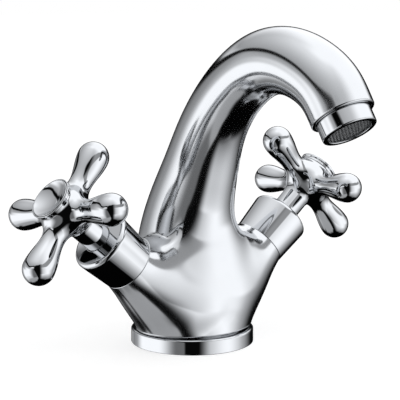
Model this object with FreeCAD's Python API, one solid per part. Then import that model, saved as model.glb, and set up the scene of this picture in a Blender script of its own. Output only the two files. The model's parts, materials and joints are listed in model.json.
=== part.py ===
import FreeCAD, Part
import math
import os

os.makedirs("parts", exist_ok=True)

# One overrun for every cut
overrun = 4.0

# Base ring and gasket
ring_radius = 28.0
ring_height = 6.8
ring_edge_round = 0.9
ring_wall = 4.7
ring_bore_radius = ring_radius - ring_wall
ring_lip_width = 2.8
ring_lip_radius = ring_bore_radius - ring_lip_width
ring_lip_height = 3.0
gasket_inner_land = 0.6
gasket_inner_radius = ring_bore_radius + gasket_inner_land
gasket_outer_land = 1.7
gasket_outer_radius = ring_radius - gasket_outer_land
gasket_height = 2.0
gasket_side_gap = 0.1

# Foot and underside of the casting
foot_step = 2.7
foot_radius = ring_radius - foot_step
foot_gap = 0.5
foot_height = ring_height + foot_gap
foot_edge_round = 1.0
spigot_gap = 0.1
spigot_wall = 3.7
under_cavity_radius = ring_bore_radius - spigot_gap - spigot_wall
under_cavity_rise = 0.7
under_cavity_height = foot_height + under_cavity_rise
inlet_radius = 4.5
inlet_spacing = 9.0
inlet_depth = 13.0
stud_hole_radius = 3.4
stud_hole_depth = 12.0
stud_setback = 11.0

# Neck and spout centreline
arch_height = 130.5
spout_reach = 95.6
outlet_tilt = 33.4
waterway_share = 0.72
waterway_skip_count = 4
neck_station_shares = (
    (0.000, -0.046, 1.000),
    (0.000, 0.069, 1.000),
    (-0.007, 0.146, 0.996),
    (-0.021, 0.230, 0.976),
    (-0.033, 0.322, 0.933),
    (-0.033, 0.403, 0.858),
    (-0.004, 0.477, 0.779),
    (0.065, 0.612, 0.656),
    (0.146, 0.746, 0.573),
    (0.247, 0.852, 0.542),
    (0.392, 0.946, 0.545),
    (0.531, 0.991, 0.559),
    (0.664, 0.999, 0.557),
    (0.805, 0.973, 0.549),
    (0.922, 0.919, 0.538),
    (1.000, 0.841, 0.530),
)

# Valve arms, measured along each arm from its root
arm_angle = 39.8
arm_setback = 1.9
arm_root_height = 9.1
arm_shoulder = 49.6
arm_spigot_length = 4.4
arm_end = arm_shoulder + arm_spigot_length
arm_end_radius = 12.6
arm_spigot_step = 1.7
arm_spigot_radius = arm_end_radius - arm_spigot_step
arm_shape_shares = ((0.04, 1.14), (0.18, 1.51), (0.40, 1.51), (0.71, 1.24), (0.91, 1.06), (1.00, 1.00))
crease_radius = 4.0
shoulder_radius = 12.0
shoulder_height = 37.3
shoulder_half = 30.0
chamber_depth = 18.0
chamber_floor = arm_end - chamber_depth
chamber_wall = 1.85
chamber_radius = arm_spigot_radius - chamber_wall
feed_radius = 3.5
feed_length = 24.0
feed_start = chamber_floor - feed_length
cross_passage_radius = 3.5
cross_passage_rise = 0.7
cross_passage_height = shoulder_height + cross_passage_rise
cross_passage_end_wall = 2.0
cross_passage_half = shoulder_half - cross_passage_end_wall

# Bonnets, screwed over the spigots
bonnet_step = 0.1
bonnet_low_radius = arm_end_radius + bonnet_step
bonnet_flare = 1.3
bonnet_high_radius = bonnet_low_radius + bonnet_flare
bonnet_height = 19.2
bonnet_top = arm_shoulder + bonnet_height
bonnet_rim_round = 2.0
bonnet_crown = 0.7
bonnet_thread_gap = 0.3
bonnet_bore_radius = arm_spigot_radius + bonnet_thread_gap
bonnet_roof = 4.3
bonnet_ceiling = bonnet_top - bonnet_roof

# Spindle size, which the valve's bores follow
spindle_radius = 4.0
shaft_gap = 0.05
shaft_bore_radius = spindle_radius + shaft_gap

# Seals
seal_cord_radius = 0.6
seal_gap = 0.05
seal_room = 0.2
seal_recess_wall = 0.6
seal_recess_radius = arm_spigot_radius - seal_recess_wall
seal_recess_depth = 2 * seal_cord_radius + seal_room
seat_seal_height = 1.2
seat_side_gap = 0.45
seat_outer_radius = chamber_radius - seat_side_gap
seat_width = 3.2
seat_inner_radius = seat_outer_radius - seat_width

# Valve bodies
valve_foot = chamber_floor + seat_seal_height
valve_side_gap = 0.05
valve_thread_radius = chamber_radius - valve_side_gap
valve_wall = 1.6
valve_chamber_radius = valve_thread_radius - valve_wall
valve_chamber_height = 10.3
valve_chamber_top = valve_foot + valve_chamber_height
valve_window_rise = 3.8
valve_window_low = valve_foot + valve_window_rise
valve_window_height = 5.5
valve_window_high = valve_window_low + valve_window_height
valve_window_width = 7.0
valve_flange_step = 0.5
valve_flange_radius = arm_spigot_radius - valve_flange_step
valve_flange_height = 1.4
valve_flange_top = arm_end + valve_flange_height
valve_hex_step = 0.6
valve_hex_radius = valve_flange_radius - valve_hex_step
valve_hex_height = 6.6
valve_hex_top = valve_flange_top + valve_hex_height
hex_side_count = 6
valve_neck_wall = 2.55
valve_neck_radius = shaft_bore_radius + valve_neck_wall
valve_neck_entry = 2.0
valve_neck_top = bonnet_ceiling + valve_neck_entry
valve_neck_gap = 0.1
bonnet_hole_radius = valve_neck_radius + valve_neck_gap

# Ceramic discs
disc_side_gap = 0.1
disc_radius = valve_chamber_radius - disc_side_gap
disc_thickness = 3.0
disc_split = valve_foot + disc_thickness
disc_top = disc_split + disc_thickness
port_radius = 2.1
port_offset = 3.9
blade_width = 2.3
blade_side_gap = 0.15
drive_slot_width = blade_width + 2 * blade_side_gap
drive_slot_depth = 1.3

# Cross handles: the hub is a stack of heights from its foot
hub_foot_gap = 0.7
hub_foot = valve_neck_top + hub_foot_gap
hub_side_gap = 0.55
hub_neck_radius = bonnet_hole_radius - hub_side_gap
hub_neck_length = 13.8
hub_neck_top = hub_foot + hub_neck_length
hub_belly_radius = 8.9
hub_belly_rise = 7.5
hub_belly_height = hub_neck_top + hub_belly_rise
hub_waist_radius = 8.4
hub_waist_rise = 7.0
hub_waist_height = hub_belly_height + hub_waist_rise
hub_rim_radius = 9.85
hub_flare_rise = 4.1
hub_rim_low = hub_waist_height + hub_flare_rise
hub_rim_thickness = 1.1
hub_rim_top = hub_rim_low + hub_rim_thickness
cross_rise = 1.6
cross_plane = hub_belly_height + cross_rise
bulb_reach = 28.2
bulb_radius = 6.75
waist_share = 0.79
waist_reach = 15.5
arm_root_radius = 5.0
arm_root_reach = 5.0
arm_join_round = 1.2
arm_count = 4
left_cross_turn = 11.2
right_cross_turn = -2.4
handle_bore_gap = 0.04
handle_bore_radius = spindle_radius + handle_bore_gap
hub_web_depth = 12.7
hub_web_top = hub_rim_top - hub_web_depth

# Caps, seated in the hub's rim
hub_rim_wall = 1.15
cap_seat_radius = hub_rim_radius - hub_rim_wall
cap_seat_depth = 1.8
cap_seat_height = hub_rim_top - cap_seat_depth
cap_side_gap = 0.15
cap_radius = cap_seat_radius - cap_side_gap
cap_edge_height = 1.3
cap_edge_top = cap_seat_height + cap_edge_height
cap_crown_rise = 0.8
cap_crown_top = cap_edge_top + cap_crown_rise
cap_plug_length = 3.9
cap_plug_foot = cap_seat_height - cap_plug_length
cap_plug_radius = 4.9
cap_plug_gap = 0.1
hub_well_radius = cap_plug_radius + cap_plug_gap

# Handle screws
spindle_recess = 2.0
spindle_top = hub_web_top - spindle_recess
screw_head_radius = 3.5
screw_head_height = 2.4
screw_shank_radius = 1.95
screw_shank_gap = 0.05
screw_hole_radius = screw_shank_radius + screw_shank_gap
screw_clearance = 0.25
screw_clearance_radius = screw_shank_radius + screw_clearance
screw_entry = 8.0
screw_foot = spindle_top - screw_entry
screw_hole_spare = 2.0
screw_hole_foot = screw_foot - screw_hole_spare
screw_socket_radius = 1.5
screw_socket_depth = 1.5

# Spindles
spindle_flange_gap = 0.4
spindle_flange_radius = valve_chamber_radius - spindle_flange_gap
disc_gap = 0.1
spindle_flange_low = disc_top + disc_gap
spindle_flange_thickness = 3.3
spindle_flange_high = spindle_flange_low + spindle_flange_thickness
blade_foot_gap = 0.2
blade_low = disc_top - drive_slot_depth + blade_foot_gap
blade_end_gap = 1.1
blade_half_length = disc_radius - blade_end_gap
ring_groove_depth = 1.3
ring_groove_radius = spindle_radius - ring_groove_depth
ring_groove_rise = 2.6
ring_groove_low = valve_flange_top + ring_groove_rise
ring_groove_width = 1.5
ring_groove_high = ring_groove_low + ring_groove_width
spindle_ring_gap = 0.02
spindle_ring_cord_radius = (ring_groove_depth - spindle_ring_gap) / 2

# Outlet fittings, measured along the outlet axis from the spout mouth
collar_radius = 11.45
collar_drop = 7.0
collar_edge_round = 0.6
collar_thread_step = 0.55
collar_thread_radius = collar_radius - collar_thread_step
collar_thread_height = 5.5
collar_wall = 1.0
collar_bore_radius = collar_thread_radius - collar_wall
collar_lip_width = 0.7
collar_lip_radius = collar_bore_radius - collar_lip_width
collar_lip_height = 1.0
collar_floor = collar_lip_height - collar_drop
outlet_bore_gap = 0.1
outlet_bore_radius = collar_thread_radius + outlet_bore_gap
washer_thickness = 1.5
outlet_bore_depth = collar_thread_height + washer_thickness
washer_width = 3.3
washer_inner_radius = collar_thread_radius - washer_width
mesh_thickness = 0.7
mesh_side_gap = 0.1
mesh_radius = collar_bore_radius - mesh_side_gap
mesh_pitch = 2.1
mesh_bar = 0.65
mesh_hole = mesh_pitch - mesh_bar
mesh_border = 0.5
mesh_open_radius = collar_lip_radius - mesh_border
insert_recess = 2.5
insert_top = collar_thread_height - insert_recess
insert_floor_thickness = 3.1
insert_wall = 1.2
insert_bowl_radius = mesh_radius - insert_wall
jet_radius = 0.9
jet_inset = 2.2
jet_ring_radius = insert_bowl_radius - jet_inset
jet_count = 12


def vec(x, y, z):
    return FreeCAD.Vector(x, y, z)


origin = vec(0, 0, 0)
x_axis = vec(1, 0, 0)
y_axis = vec(0, 1, 0)
z_axis = vec(0, 0, 1)
full_turn = 360
quarter_turn = 90


# Solid from a closed outline of radius and height pairs turned about the vertical
def turned(outline):
    corners = [vec(radius, 0, height) for radius, height in outline]
    wire = Part.makePolygon(corners + [corners[0]])
    return Part.Face(wire).revolve(origin, z_axis, full_turn)


# Solid of revolution whose outer edge is a smooth curve through the given points
def turned_curve(points, start_tangent=None, end_tangent=None):
    curve = Part.BSplineCurve()
    vectors = [vec(radius, 0, height) for radius, height in points]
    if start_tangent is None:
        curve.interpolate(vectors)
    else:
        curve.interpolate(Points=vectors, InitialTangent=start_tangent, FinalTangent=end_tangent)
    low = vec(0, 0, points[0][1])
    high = vec(0, 0, points[-1][1])
    edges = [Part.makeLine(low, vectors[0]), curve.toShape()]
    edges = edges + [Part.makeLine(vectors[-1], high), Part.makeLine(high, low)]
    return Part.Face(Part.Wire(edges)).revolve(origin, z_axis, full_turn)


# Upright cylinder between two heights
def rod(radius, low, high):
    return Part.makeCylinder(radius, high - low, vec(0, 0, low))


# Upright tube between two heights
def tube(outer, inner, low, high):
    return rod(outer, low, high).cut(rod(inner, low - overrun, high + overrun))


# Ring of round cord about the vertical
def cord_ring(centre_radius, cord_radius, height):
    return Part.makeTorus(centre_radius, cord_radius, vec(0, 0, height))


# Block centred on the vertical axis
def block(length, width, low, high):
    return Part.makeBox(length, width, high - low, vec(-length / 2, -width / 2, low))


def on_arm(shape, side):
    placed = shape.copy()
    turn = FreeCAD.Rotation(y_axis, side * (quarter_turn - arm_angle))
    spot = FreeCAD.Placement(vec(0, -arm_setback, arm_root_height), turn)
    placed.Placement = spot.multiply(placed.Placement)
    return placed


def at_outlet(shape):
    placed = shape.copy()
    forward_share, height_share, radius_share = neck_station_shares[-1]
    mouth = vec(0, -spout_reach * forward_share, arch_height * height_share)
    spot = FreeCAD.Placement(mouth, FreeCAD.Rotation(x_axis, -outlet_tilt))
    placed.Placement = spot.multiply(placed.Placement)
    return placed


def save(shape, name):
    shape.Solids[0].exportStep("parts/" + name + ".step")


# Loft of round sections square to the spout's centreline
def neck_loft(first_station, radius_share):
    points = []
    radii = []
    for forward_share, height_share, size_share in neck_station_shares:
        points.append(vec(0, -spout_reach * forward_share, arch_height * height_share))
        radii.append(foot_radius * size_share * radius_share)
    tilt = math.radians(outlet_tilt)
    curve = Part.BSplineCurve()
    ending = vec(0, -math.sin(tilt), -math.cos(tilt))
    curve.interpolate(Points=points, InitialTangent=z_axis, FinalTangent=ending)
    sections = []
    for point, radius in list(zip(points, radii))[first_station:]:
        along = curve.tangent(curve.parameter(point))[0]
        lean = math.degrees(math.atan2(-along.y, along.z))
        section = Part.Wire([Part.Circle(origin, z_axis, radius).toShape()])
        section.Placement = FreeCAD.Placement(point, FreeCAD.Rotation(x_axis, lean))
        sections.append(section)
    return Part.makeLoft(sections, True, False)


# Casting: neck, arms, foot and the hollows inside
def body_casting():
    arm_points = [(arm_end_radius * wide, arm_shoulder * far) for far, wide in arm_shape_shares]
    arm = turned_curve(arm_points)
    shoulder_start = vec(-shoulder_half, -arm_setback, shoulder_height)
    shoulder = Part.makeCylinder(shoulder_radius, 2 * shoulder_half, shoulder_start, x_axis)
    body = neck_loft(0, 1).fuse([on_arm(arm, 1), on_arm(arm, -1), shoulder])
    wide = 4 * foot_radius
    body = body.cut(block(wide, wide, foot_height - wide, foot_height))
    creases = []
    for edge in body.Edges:
        box = edge.BoundBox
        inside = max(abs(box.XMin), abs(box.XMax)) < shoulder_half
        tall = box.ZLength > overrun and box.ZMax < arm_shoulder
        if inside and tall:
            creases.append(edge)
    body = body.makeFillet(crease_radius, creases)
    rims = [edge for edge in body.Edges if edge.BoundBox.ZMax < foot_height + foot_gap]
    body = body.makeFillet(foot_edge_round, rims)
    spigot = rod(ring_bore_radius - spigot_gap, ring_lip_height, foot_height + overrun)
    arm_spigot = rod(arm_spigot_radius, arm_shoulder - overrun, arm_end)
    body = body.fuse([spigot, on_arm(arm_spigot, 1), on_arm(arm_spigot, -1)])
    cuts = [neck_loft(waterway_skip_count, waterway_share)]
    cuts.append(rod(under_cavity_radius, 0, under_cavity_height))
    chamber = rod(chamber_radius, chamber_floor, arm_end + overrun)
    feed = rod(feed_radius, feed_start, chamber_floor + overrun)
    seal_recess = rod(seal_recess_radius, arm_end - seal_recess_depth, arm_end + overrun)
    for side in (1, -1):
        cuts = cuts + [on_arm(chamber, side), on_arm(feed, side), on_arm(seal_recess, side)]
        inlet_top = under_cavity_height + inlet_depth
        inlet = rod(inlet_radius, under_cavity_height - overrun, inlet_top)
        inlet.translate(vec(side * inlet_spacing, -arm_setback, 0))
        cuts.append(inlet)
    stud_hole = rod(stud_hole_radius, under_cavity_height - overrun, under_cavity_height + stud_hole_depth)
    stud_hole.translate(vec(0, stud_setback, 0))
    cuts.append(stud_hole)
    passage_start = vec(-cross_passage_half, -arm_setback, cross_passage_height)
    cuts.append(Part.makeCylinder(cross_passage_radius, 2 * cross_passage_half, passage_start, x_axis))
    cuts.append(at_outlet(rod(outlet_bore_radius, -overrun, outlet_bore_depth)))
    return body.cut(cuts)


def base_ring():
    ring = tube(ring_radius, ring_bore_radius, 0, ring_height)
    ring = ring.fuse(tube(ring_radius, ring_lip_radius, 0, ring_lip_height)).removeSplitter()
    top = [edge for edge in ring.Edges if edge.BoundBox.ZMin > ring_height - overrun / 2]
    outer = [edge for edge in top if edge.BoundBox.XMax > ring_radius - ring_edge_round]
    ring = ring.makeFillet(ring_edge_round, outer)
    return ring.cut(tube(gasket_outer_radius, gasket_inner_radius, -overrun, gasket_height))


def base_gasket():
    outer = gasket_outer_radius - gasket_side_gap
    return tube(outer, gasket_inner_radius + gasket_side_gap, 0, gasket_height)


def bonnet():
    crown = bonnet_top + bonnet_crown
    corner = bonnet_high_radius - bonnet_rim_round
    shell = turned([(0, arm_shoulder), (bonnet_low_radius, arm_shoulder), (bonnet_high_radius, bonnet_top),
                    (bonnet_hole_radius, crown), (0, crown)])
    rims = [edge for edge in shell.Edges if edge.BoundBox.XMax > corner and edge.BoundBox.ZMin > bonnet_ceiling]
    shell = shell.makeFillet(bonnet_rim_round, [edge for edge in rims if edge.BoundBox.ZLength < bonnet_crown])
    shell = shell.cut(rod(bonnet_bore_radius, arm_shoulder - overrun, bonnet_ceiling))
    return shell.cut(rod(bonnet_hole_radius, bonnet_ceiling - overrun, crown + overrun))


def valve_body():
    shell = rod(valve_thread_radius, valve_foot, arm_end)
    flange = rod(valve_flange_radius, arm_end, valve_flange_top)
    corners = []
    for corner in range(hex_side_count + 1):
        angle = math.radians(corner * full_turn / hex_side_count)
        corners.append(vec(valve_hex_radius * math.cos(angle), valve_hex_radius * math.sin(angle), valve_flange_top))
    hexagon = Part.Face(Part.makePolygon(corners)).extrude(vec(0, 0, valve_hex_top - valve_flange_top))
    neck = rod(valve_neck_radius, valve_hex_top, valve_neck_top)
    shell = shell.fuse([flange, hexagon, neck])
    shell = shell.cut(rod(valve_chamber_radius, valve_foot - overrun, valve_chamber_top))
    shell = shell.cut(rod(shaft_bore_radius, valve_foot, valve_neck_top + overrun))
    window = block(4 * valve_thread_radius, valve_window_width, valve_window_low, valve_window_high)
    return shell.cut(window)


def valve_seal():
    middle = seal_recess_radius - seal_cord_radius - seal_gap / 2
    return cord_ring(middle, seal_cord_radius, arm_end - seal_cord_radius - seal_gap)


def seat_seal():
    return tube(seat_outer_radius, seat_inner_radius, chamber_floor, valve_foot)


# Disc with two opposite ports
def ported_disc(low, high):
    disc = rod(disc_radius, low, high)
    ports = []
    for side in (1, -1):
        port = rod(port_radius, low - overrun, high + overrun)
        port.translate(vec(side * port_offset, 0, 0))
        ports.append(port)
    return disc.cut(ports)


def fixed_disc():
    return ported_disc(valve_foot, disc_split)


def moving_disc():
    disc = ported_disc(disc_split, disc_top)
    disc.rotate(origin, z_axis, quarter_turn)
    slot = block(4 * disc_radius, drive_slot_width, disc_top - drive_slot_depth, disc_top + overrun)
    return disc.cut(slot)


def spindle():
    shaft = rod(spindle_radius, spindle_flange_low, spindle_top)
    flange = rod(spindle_flange_radius, spindle_flange_low, spindle_flange_high)
    blade = block(2 * blade_half_length, blade_width, blade_low, spindle_flange_high)
    shaft = shaft.fuse([flange, blade])
    groove = rod(spindle_radius + overrun, ring_groove_low, ring_groove_high)
    shaft = shaft.cut(groove.cut(rod(ring_groove_radius, ring_groove_low - overrun, ring_groove_high + overrun)))
    return shaft.cut(rod(screw_hole_radius, screw_hole_foot, spindle_top + overrun))


def spindle_ring():
    middle = (ring_groove_low + ring_groove_high) / 2
    return cord_ring(ring_groove_radius + spindle_ring_cord_radius, spindle_ring_cord_radius, middle)


# One arm of the cross, laid along the local Y axis
def handle_arm():
    root = (arm_root_radius, arm_root_reach)
    waist = (bulb_radius * waist_share, waist_reach)
    bulb = (bulb_radius, bulb_reach)
    curve = Part.BSplineCurve()
    vectors = [vec(radius, 0, far) for radius, far in (root, waist, bulb)]
    inward = vec(-bulb_radius, 0, 2 * bulb_reach)
    curve.interpolate(Points=vectors, InitialTangent=inward, FinalTangent=z_axis)
    crest = math.sqrt(0.5) * bulb_radius
    tip = vec(0, 0, bulb_reach + bulb_radius)
    dome = Part.Arc(vectors[-1], vec(crest, 0, bulb_reach + crest), tip).toShape()
    foot = vec(0, 0, arm_root_reach)
    edges = [Part.makeLine(foot, vectors[0]), curve.toShape(), dome, Part.makeLine(tip, foot)]
    arm = Part.Face(Part.Wire(edges)).revolve(origin, z_axis, full_turn)
    arm.Placement = FreeCAD.Placement(vec(0, 0, cross_plane), FreeCAD.Rotation(x_axis, -quarter_turn))
    return arm


def handle(turn):
    points = [(hub_neck_radius, hub_neck_top), (hub_belly_radius, hub_belly_height)]
    points = points + [(hub_waist_radius, hub_waist_height), (hub_rim_radius, hub_rim_low)]
    hub = turned_curve(points, z_axis, vec(hub_rim_radius, 0, hub_neck_radius))
    hub = hub.fuse([rod(hub_neck_radius, hub_foot, hub_neck_top + overrun / 2),
                    rod(hub_rim_radius, hub_rim_low, hub_rim_top)])
    hub.rotate(origin, z_axis, quarter_turn / 2)
    arms = []
    for number in range(arm_count):
        arm = handle_arm()
        arm.rotate(origin, z_axis, number * full_turn / arm_count)
        arms.append(arm)
    cross = hub.fuse(arms).removeSplitter()
    joins = []
    for edge in cross.Edges:
        middle = edge.BoundBox.Center
        far = math.hypot(middle.x, middle.y)
        level = abs(middle.z - cross_plane) < overrun / 4
        tall = edge.BoundBox.ZLength > arm_root_radius
        if level and tall and far < waist_reach - overrun:
            joins.append(edge)
    cross = cross.makeFillet(arm_join_round, joins)
    cross = cross.cut([rod(handle_bore_radius, hub_foot - overrun, spindle_top),
                       rod(screw_clearance_radius, spindle_top - overrun, hub_web_top + overrun / 2),
                       rod(hub_well_radius, hub_web_top, hub_rim_top + overrun),
                       rod(cap_seat_radius, cap_seat_height, hub_rim_top + overrun)])
    cross.rotate(origin, z_axis, turn)
    return cross


def handle_screw():
    head_top = hub_web_top + screw_head_height
    screw = rod(screw_shank_radius, screw_foot, hub_web_top).fuse(rod(screw_head_radius, hub_web_top, head_top))
    return screw.cut(rod(screw_socket_radius, head_top - screw_socket_depth, head_top + overrun))


# Cap: shallow crown over a plug that fits the hub's well
def cap():
    sphere_radius = (cap_radius ** 2 + cap_crown_rise ** 2) / (2 * cap_crown_rise)
    crown = Part.makeSphere(sphere_radius, vec(0, 0, cap_crown_top - sphere_radius))
    disc = rod(cap_radius, cap_seat_height, cap_crown_top + overrun).common(crown)
    return disc.fuse(rod(cap_plug_radius, cap_plug_foot, cap_seat_height + overrun / 8))


def aerator_collar():
    collar = rod(collar_radius, -collar_drop, 0)
    low = [edge for edge in collar.Edges if edge.BoundBox.ZMax < -collar_drop / 2]
    collar = collar.makeFillet(collar_edge_round, low)
    collar = collar.fuse(rod(collar_thread_radius, -overrun / 2, collar_thread_height))
    collar = collar.cut(rod(collar_bore_radius, collar_floor, collar_thread_height + overrun))
    return collar.cut(rod(collar_lip_radius, -collar_drop - overrun, collar_thread_height))


def aerator_mesh():
    disc = rod(mesh_radius, collar_floor, collar_floor + mesh_thickness)
    holes = []
    half_count = int(mesh_open_radius / mesh_pitch)
    for column in range(-half_count, half_count + 1):
        for row in range(-half_count, half_count + 1):
            x = column * mesh_pitch
            y = row * mesh_pitch
            if math.hypot(x, y) + mesh_hole / 2 < mesh_open_radius:
                hole = block(mesh_hole, mesh_hole, collar_floor - overrun, collar_floor + overrun)
                hole.translate(vec(x, y, 0))
                holes.append(hole)
    return disc.cut(holes)


def aerator_insert():
    floor = collar_floor + mesh_thickness
    insert = rod(mesh_radius, floor, insert_top)
    cuts = [rod(insert_bowl_radius, floor + insert_floor_thickness, insert_top + overrun)]
    for number in range(jet_count):
        angle = math.radians(number * full_turn / jet_count)
        jet = rod(jet_radius, floor - overrun, insert_top + overrun)
        jet.translate(vec(jet_ring_radius * math.cos(angle), jet_ring_radius * math.sin(angle), 0))
        cuts.append(jet)
    return insert.cut(cuts)


def aerator_washer():
    return tube(collar_thread_radius, washer_inner_radius, collar_thread_height, outlet_bore_depth)


save(body_casting(), "body_casting")
save(base_ring(), "base_ring")
save(base_gasket(), "base_gasket")
outlet_makers = {
    "aerator_collar": aerator_collar,
    "aerator_mesh": aerator_mesh,
    "aerator_insert": aerator_insert,
    "aerator_washer": aerator_washer,
}
for name, maker in outlet_makers.items():
    save(at_outlet(maker()), name)
arm_makers = {
    "bonnet": bonnet,
    "valve_body": valve_body,
    "valve_seal": valve_seal,
    "seat_seal": seat_seal,
    "fixed_disc": fixed_disc,
    "moving_disc": moving_disc,
    "spindle": spindle,
    "spindle_ring": spindle_ring,
    "handle_screw": handle_screw,
    "cap": cap,
}
for label, side, cross_turn in (("hot_", -1, left_cross_turn), ("cold_", 1, right_cross_turn)):
    for name, maker in arm_makers.items():
        save(on_arm(maker(), side), label + name)
    save(on_arm(handle(cross_turn), side), label + "handle")
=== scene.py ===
import json
import math

import bmesh
import bpy
import numpy as np
from mathutils import Matrix, Vector


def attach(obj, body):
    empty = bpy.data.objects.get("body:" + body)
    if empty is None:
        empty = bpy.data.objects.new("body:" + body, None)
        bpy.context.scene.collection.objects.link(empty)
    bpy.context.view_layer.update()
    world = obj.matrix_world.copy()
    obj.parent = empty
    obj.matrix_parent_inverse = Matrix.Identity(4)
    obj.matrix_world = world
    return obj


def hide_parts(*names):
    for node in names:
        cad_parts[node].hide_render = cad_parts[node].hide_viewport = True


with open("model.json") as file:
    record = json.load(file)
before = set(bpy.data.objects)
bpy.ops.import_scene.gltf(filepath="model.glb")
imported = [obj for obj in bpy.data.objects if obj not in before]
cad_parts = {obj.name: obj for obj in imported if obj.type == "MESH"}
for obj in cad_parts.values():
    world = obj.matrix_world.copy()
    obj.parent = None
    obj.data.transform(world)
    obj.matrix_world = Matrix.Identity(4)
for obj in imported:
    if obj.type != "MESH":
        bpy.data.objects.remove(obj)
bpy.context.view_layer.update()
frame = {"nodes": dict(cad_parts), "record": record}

# Millimetres to metres
MM = 0.001

# Base ring and foot, in millimetres like every size of the tap below
ring_radius = 28.0
ring_height = 6.8
ring_edge_round = 0.9
ring_bore_radius = 23.3
ring_lip_radius = 20.5
ring_lip_height = 3.0
foot_radius = 25.3
foot_gap = 0.5
foot_edge_round = 1.0

# Neck and spout centreline. Each station is its way forward, its height and its radius, as
# shares of the reach, the arch height and the foot radius.
arch_height = 130.5
spout_reach = 95.6
outlet_tilt = math.radians(33.4)
neck_station_shares = (
    (0.000, -0.046, 1.000),
    (0.000, 0.069, 1.000),
    (-0.007, 0.146, 0.996),
    (-0.021, 0.230, 0.976),
    (-0.033, 0.322, 0.933),
    (-0.029, 0.403, 0.858),
    (-0.0075, 0.477, 0.785),
    (0.062, 0.612, 0.676),
    (0.144, 0.746, 0.602),
    (0.246, 0.851, 0.568),
    (0.392, 0.944, 0.557),
    (0.531, 0.991, 0.559),
    (0.664, 0.999, 0.557),
    (0.805, 0.973, 0.549),
    (0.922, 0.919, 0.538),
    (1.000, 0.841, 0.530),
)
mouth_round = 0.8
mouth_bore_radius = 11.9

# Valve arms. Each shape share is a distance along the arm and the radius there, as shares of
# the shoulder's distance and the end's radius. The slopes are those of the radius.
arm_angle = math.radians(39.8)
arm_setback = 1.9
arm_root_height = 9.1
arm_shoulder = 49.6
arm_end_radius = 12.6
arm_shape_shares = (
    (0.04, 1.14),
    (0.18, 1.51),
    (0.40, 1.51),
    (0.71, 1.24),
    (0.91, 1.06),
    (1.00, 1.00),
)
arm_root_slope = 0.9
arm_end_slope = -0.16
arm_edge_round = 0.35
arm_spigot_radius = 10.9
shoulder_radius = 12.0
shoulder_height = 39.5
shoulder_half = 22.0

# Blend widths where the neck, arms and shoulders run into each other, and the heights and
# depths between which one width changes into the next
foot_blend = 8.0
foot_blend_low = 8.0
foot_blend_high = 26.0
flank_blend = 20.0
saddle_blend = 1.5
saddle_low = 34.0
saddle_high = 48.0
saddle_front = -14.0
saddle_back = -6.0
arm_blend = 8.0

# Bonnets, with heights along the valve axis
bonnet_low_radius = 12.7
bonnet_high_radius = 14.0
bonnet_top = 68.8
bonnet_rim_round = 2.0
bonnet_crown = 0.7
bonnet_bore_radius = 11.2
bonnet_ceiling = 64.5
bonnet_hole_radius = 6.3

# Cross handles, with heights along the valve axis
cross_plane = 90.1
bulb_reach = 28.2
bulb_radius = 6.95
bulb_neck_radius = 6.1
bulb_neck_reach = 21.5
waist_radius = 5.0
waist_reach = 14.8
arm_root_radius = 7.0
hub_foot = 67.2
hub_neck_radius = 6.15
hub_neck_top = 81.0
hub_belly_radius = 9.3
hub_belly_height = 89.0
hub_waist_radius = 9.6
hub_waist_height = 95.5
hub_groove_radius = 8.9
hub_groove_height = 98.9
hub_rim_radius = 9.85
hub_rim_low = 99.8
hub_rim_top = 100.7
hub_rim_slope = 2.0
handle_blend = 6.5
cap_seat_radius = 9.25
cap_seat_height = 98.4
cap_radius = 9.1
cap_edge_top = 100.9
cap_lip = 0.35
cap_dish = 3.0
hot_cross_turn = math.radians(11.2)
cold_cross_turn = math.radians(-2.4)

# Outlet fittings, along the outlet axis from the spout mouth
collar_radius = 11.45
collar_drop = 7.0
collar_edge_round = 0.6
collar_bore_radius = 9.9
collar_lip_radius = 9.2
collar_lip_height = 1.0
collar_thread_height = 5.5
collar_thread_radius = 10.9

# Hidden hollows, threads and seats
spigot_radius = 23.2
cavity_radius = 19.5
cavity_height = 8.0
inlet_radius = 4.5
inlet_spacing = 9.0
inlet_depth = 13.0
stud_radius = 3.4
stud_depth = 12.0
stud_setback = 11.0
arm_end = 54.0
chamber_radius = 9.05
chamber_floor = 36.0
outlet_bore_radius = 11.0
outlet_bore_depth = 7.0
waterway_radius = 9.6
mouth_recess = 1.0
hub_cut = 80.0
hub_well_radius = 5.0
hub_web_top = 88.0
hub_bore_radius = 2.2
hub_rim_round = 0.25
spindle_top = 86.0
spindle_bore_radius = 4.04
cap_plug_radius = 4.9
cap_plug_foot = 95.0
cap_edge_round = 0.25

# Wire screen of the aerator
screen_radius = 9.7
wire_pitch = 0.95
wire_radius = 0.16
wire_sides = 6
wire_steps = 5
least_wire_steps = 4

# Fineness of the surfaces found in the fields, and of the turned ones
body_step = 1.1
body_margin = 3.3
handle_step = 0.75
handle_margin = 2.25
turn_segments = 144
hole_segments = 48
round_steps = 6
cap_steps = 14

# Limits of the search for points on the surfaces
neck_samples = 150
chunk_points = 40000
neck_rounds = 4
neck_rate_limit = -0.2
slope_reach = 0.01
settling_rounds = 4
least_slope_square = 0.05
cut_tolerance = 0.02
key_digits = 5
tiny = 1e-6

# Shared settings of the materials
chrome = (0.54, 0.55, 0.565)
noise_detail = 4
tint_low = 0.3
tint_high = 0.7
lathe_distortion = 0.6
bump_depth = MM / 10

# Camera, with its lens and sensor in millimetres and its place in metres
camera_lens = 124.86
camera_sensor = 36
camera_place = (-0.3882, -0.4843, 0.1613)
camera_aim = (0.6225, 0.7675, -0.1533)

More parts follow.
